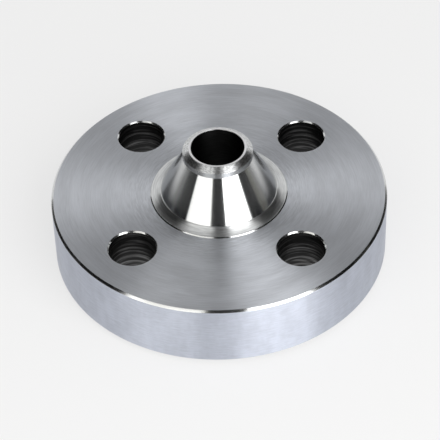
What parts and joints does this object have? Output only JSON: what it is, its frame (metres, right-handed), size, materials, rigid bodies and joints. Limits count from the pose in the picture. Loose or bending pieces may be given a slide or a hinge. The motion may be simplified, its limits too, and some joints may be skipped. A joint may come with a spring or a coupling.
{
  "type": "reducing flange",
  "caption": "Round weld-neck reducing flange with a short tapered hub, a through bore, bolt holes and a raised gasket face underneath.",
  "frame": {"origin": "centre of the raised gasket face, on the bore's axis, at the part's lowest plane", "axes": "+Z along the bore's axis, from the gasket face towards the neck's weld end; the bolt holes straddle X and Y at 45 degrees"},
  "size_m": [0.13, 0.13, 0.0505],
  "materials": {
    "flange_steel": "fine turned plate and rim, polished hub"
  },
  "bodies": {
    "root": {"reducing_flange": "flange_steel"}
  },
  "joints": []
}
